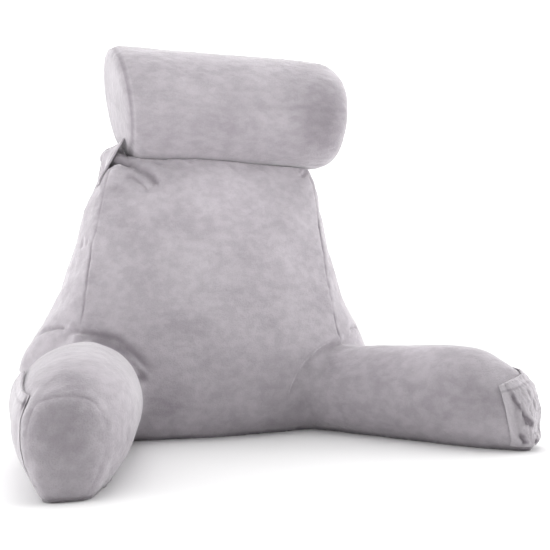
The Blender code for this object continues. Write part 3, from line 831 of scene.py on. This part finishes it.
# Deep puckers: the share of the way along the pocket and up it, how broad and tall, how deep.
PUCKERS = {
    "left": ((0.30, 0.55, 0.020, 0.25, 0.0012), (0.62, 0.40, 0.020, 0.30, 0.0012),
             (0.978, 0.90, 0.012, 0.06, 0.0045)),
    "right": (
        (0.905, 0.42, 0.018, 0.06, 0.0060), (0.885, 0.36, 0.014, 0.05, 0.0050),
        (0.915, 0.52, 0.010, 0.08, 0.0035), (0.945, 0.17, 0.012, 0.05, 0.0050),
        (0.938, 0.08, 0.012, 0.03, 0.0040), (0.868, 0.07, 0.018, 0.04, 0.0055),
        (0.845, 0.12, 0.010, 0.05, 0.0030), (0.770, 0.50, 0.010, 0.08, 0.0050),
        (0.760, 0.38, 0.009, 0.07, 0.0035), (0.720, 0.86, 0.009, 0.13, 0.0045),
        (0.935, 0.76, 0.010, 0.10, 0.0040), (0.925, 0.64, 0.010, 0.06, 0.0035),
        (0.850, 0.78, 0.009, 0.08, 0.0030), (0.830, 0.62, 0.010, 0.07, 0.0025),
        (0.800, 0.22, 0.010, 0.09, 0.0030), (0.680, 0.30, 0.010, 0.20, 0.0020),
        (0.560, 0.62, 0.012, 0.25, 0.0020), (0.450, 0.40, 0.012, 0.30, 0.0020),
    ),
}
# The same plush as the cover's, its colours lighter as painted light.
POCKET_LIGHT = (0.612, 0.579, 0.612)
POCKET_DARK = (0.520, 0.487, 0.521)
POCKET_CORNER = 0.318       # along the arm, where its outer side turns into its end
POCKET_TURN = 0.088         # how round that corner is
POCKET_STEPS = 200
POCKET_LEVELS = 64
POCKET_THICKNESS = 0.0024
POCKET_GAP = 0.0009
# Shares of a pocket's length or height:
SEWN_ENDS = 0.05            # at each end, over which the ruffle dies away
OVER_HEM = 0.08             # above the hem, over which it begins
MOUTH_FROM = 0.86           # from here up the elastic draws the cloth in
STITCHED_AT = 0.90          # and here it is stitched
HEMMED = 0.022              # of the rolled edges at the mouth and at the front end
FOLDED_AT = 0.948           # along, where the cloth folds in beside that end
LINE_BREADTH = 0.014        # of that fold and of the stitches
POCKET_FOLD_SHADE = 90      # painted shade in that fold: how much darker, for its ruffle
PUCKER_RISE = 0.60          # how far the cloth stands out beside a pucker, against its depth
PUCKER_FULL_SHADE = 0.0034        # a pucker this deep gets the darkest painted shade
GATHERS = {"left": 9, "right": 12}
RIM_DRAW = {"left": 0.55, "right": 0.75}        # how far the elastic draws the mouth back in
END_BAND = {"left": 0.0000, "right": 0.0030}    # how far the hemmed front end stands out
END_TAPER = {"left": 0.045, "right": 0.016}     # the share at each end where it is sewn flat
CRUMPLE = {"left": 0.35, "right": 0.60}         # fine crumpling, against the ruffle's height


def round_the_arm(arm, run):
    """A point on the arm's middle line and the way out from it, for a run round the arm."""
    root, ahead, outward = arm_frame(arm)
    radius = POCKET_TURN * arm["breadth"]
    turn_point = root + ahead * (POCKET_CORNER * arm["length"] - radius)
    if run <= 0:
        return turn_point + ahead * run, outward
    angle = min(run / radius, math.pi)
    return turn_point, outward * math.cos(angle) + ahead * math.sin(angle)


def sheet(name, inner, outward, thicknesses):
    """A thin closed sheet from a grid of inner points, thickened along outward."""
    builder = bmesh.new()
    layers = []
    for share in (0.0, 1.0):
        layers.append([[builder.verts.new(point + way * (share * thick))
                        for point, way, thick in zip(*triple)]
                       for triple in zip(inner, outward, thicknesses)])
    rows, count = len(inner), len(inner[0])
    for layer in layers:
        for row in range(rows - 1):
            for index in range(count - 1):
                builder.faces.new((layer[row][index], layer[row][index + 1],
                                   layer[row + 1][index + 1], layer[row + 1][index]))
    rim = [(0, index) for index in range(count)]
    rim += [(row, count - 1) for row in range(1, rows)]
    rim += [(rows - 1, index) for index in range(count - 2, -1, -1)]
    rim += [(row, 0) for row in range(rows - 2, 0, -1)]
    for here, after in zip(rim, rim[1:] + rim[:1]):
        builder.faces.new((layers[0][here[0]][here[1]], layers[0][after[0]][after[1]],
                           layers[1][after[0]][after[1]], layers[1][here[0]][here[1]]))
    bmesh.ops.recalc_face_normals(builder, faces=builder.faces)
    return object_from(builder, name)


def puckered(side, shares, height, wider=1.0, taller=1.0):
    """The deep puckers at one height of a pocket, in metres, for each share of the way along."""
    return sum(depth * np.exp(-((shares - share) / (wider * broad)) ** 2
                              - ((height - level) / (taller * tall)) ** 2)
               for share, level, broad, tall, depth in PUCKERS[side])


def make_pocket(side, surface):
    columns = smooth_rows(POCKET_COLUMNS, POCKETS[side], POCKET_STEPS // (len(POCKETS[side]) - 1))
    shares = np.linspace(0, 1, len(columns))
    ruffle = np.array([column["ruffle"] for column in columns])
    belly = np.array([max(0.0, column["belly"]) for column in columns])
    seed = 2 if side == "left" else 7
    held = np.clip(np.minimum(shares, 1 - shares) / SEWN_ENDS, 0, 1)
    flat_end = np.exp(-(np.minimum(shares, 1 - shares) / END_TAPER[side]) ** 2)
    band = np.exp(-((1 - shares) / HEMMED) ** 2)
    beside_band = np.exp(-((shares - FOLDED_AT) / LINE_BREADTH) ** 2)
    inner, outward, thicknesses, painted_shades = [], [], [], []
    for level in range(POCKET_LEVELS + 1):
        height = level / POCKET_LEVELS
        at_mouth = max(0.0, (height - MOUTH_FROM) / (1 - MOUTH_FROM))
        off_hem = min(1.0, height / OVER_HEM)
        turns = shares * math.tau * GATHERS[side]
        long_folds = 0.5 + 0.5 * wander(turns + 0.8 * math.sin(5 * height), seed)
        tufts = wander(turns * 1.4 + 1.5 * math.sin(9 * height + seed), seed + 3)
        tufts = 0.5 + 0.5 * tufts * wander(turns * 0.7 + 17 * height, seed + 4)
        fine = 0.5 + 0.5 * wander(turns * 2.6, seed + 1)
        wave = 0.60 * long_folds + 0.75 * tufts * (1 - at_mouth) + 0.45 * fine * at_mouth
        drawn_in = math.sin(math.pi * min(1.0, 0.62 * height + 0.02)) ** 1.5
        drawn_in *= 1 - RIM_DRAW[side] * at_mouth
        lift = ruffle * held * off_hem * wave + belly * drawn_in
        lift += END_BAND[side] * band * off_hem - 0.5 * ruffle * beside_band * off_hem
        pucker = puckered(side, shares, height)
        beside = puckered(side, shares, height, 2.4, 1.5)
        crumple = wander(turns * 4.1 + 3 * math.sin(11 * height), seed + 6) * wander(31 * height, seed)
        lift += PUCKER_RISE * beside - pucker + CRUMPLE[side] * ruffle * held * off_hem * crumple
        points, ways = [], []
        for index, column in enumerate(columns):
            run = column["hem_run"] + (column["mouth_run"] - column["hem_run"]) * height
            run += column["bow"] * 4 * height * (1 - height)
            middle, way = round_the_arm(ARMS[side], run)
            z = column["hem"] + (column["mouth"] - column["hem"]) * height
            start = Vector((middle.x, middle.y, z)) + way * FAR
            on_arm, normal = surface.ray_cast(start, -way)[:2]
            gap = POCKET_GAP * (1 - 0.4 * flat_end[index])
            points.append(on_arm + normal * gap + way * max(0.0, lift[index]))
            ways.append(way)
        inner.append(points)
        outward.append(ways)
        rolled = math.exp(-((1 - height) / HEMMED) ** 2)
        thicknesses.append(POCKET_THICKNESS * (1 + 0.7 * rolled) * (1 - 0.85 * flat_end))
        # Painted shade: in the ruffle's valleys, along the stitches, in the fold beside the front end and in
        # the puckers.
        valley_shade = np.clip(1.0 - wave / 0.9, 0, 1) ** 1.5 * np.clip(ruffle / 0.0035, 0, 1.5)
        stitch_shade = 0.5 * math.exp(-((height - STITCHED_AT) / LINE_BREADTH) ** 2)
        fold_shade = POCKET_FOLD_SHADE * ruffle * beside_band
        painted_shades.append(np.clip(0.25 * valley_shade * off_hem + stitch_shade + fold_shade + pucker / PUCKER_FULL_SHADE, 0, 1))
    pocket = sheet(side + "_pocket_plush", inner, outward, thicknesses)
    mark(pocket, "painted_shade", np.tile(np.concatenate(painted_shades), 2))
    return pocket


pocket_plush = plush("pocket_plush", POCKET_LIGHT, POCKET_DARK, (2.5, 2.5, 1.0), 3)
arm_surface = surface_of(reading_pillow)
for side in ARMS:
    pocket = make_pocket(side, arm_surface)
    pocket.data.materials.append(pocket_plush)
    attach(pocket, "root")
    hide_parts(side + "_pocket")

# ------------------------------------------------------------------------------------------
# Tab. A short strip of plush, hemmed on both long sides, sewn to the roll's left end and to the
# side of the backrest. It is pulled taut, and it keeps the roll from sliding off.
TAB_WIDTH = 0.050
TAB_Y = 0.094
TAB_TOP = 0.534
TAB_FOOT = 0.449
TAB_STEPS = 48
TAB_ACROSS = 12
TAB_THICKNESS = 0.0024
TAB_GAP = 0.0009


def make_roll_tab(surfaces):
    left = Vector((-1, 0, 0))
    heights = np.linspace(TAB_TOP, TAB_FOOT, TAB_STEPS + 1)
    lines = []
    for share in np.linspace(-0.5, 0.5, TAB_ACROSS + 1):
        y = BACKREST_AT.y + TAB_Y + share * TAB_WIDTH
        reach = []
        for z in heights:
            hits = [surface.ray_cast(Vector((-FAR, y, z)), -left)[0] for surface in surfaces]
            reach.append(min((hit.x for hit in hits if hit is not None), default=FAR) - TAB_GAP)
        line = []
        for step, z in enumerate(heights):
            x = min(reach[above] + (reach[below] - reach[above]) * (step - above) / (below - above)
                    for above in range(step + 1) for below in range(step, TAB_STEPS + 1)
                    if below > above)
            line.append(Vector((x, y, z)))
        lines.append(line)
    inner = [list(points) for points in zip(*lines)]
    outward = [[left] * len(lines) for _ in inner]
    edge = [1 + 0.6 * math.exp(-(min(index, TAB_ACROSS - index) / 1.2) ** 2)
            for index in range(TAB_ACROSS + 1)]
    sewn = [1 - 0.7 * math.exp(-((len(inner) - 1 - step) / 3) ** 2) for step in range(len(inner))]
    tab = sheet("roll_tab_plush", inner, outward,
                [[TAB_THICKNESS * part * share for part in edge] for share in sewn])
    return tab


roll_tab = make_roll_tab([surface_of(neck_roll), arm_surface])
roll_tab.data.materials.append(plush("tab_plush", PLUSH_LIGHT, PLUSH_DARK, (2.0, 2.0, 1.0), 4))
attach(roll_tab, "root")
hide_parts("roll_tab")
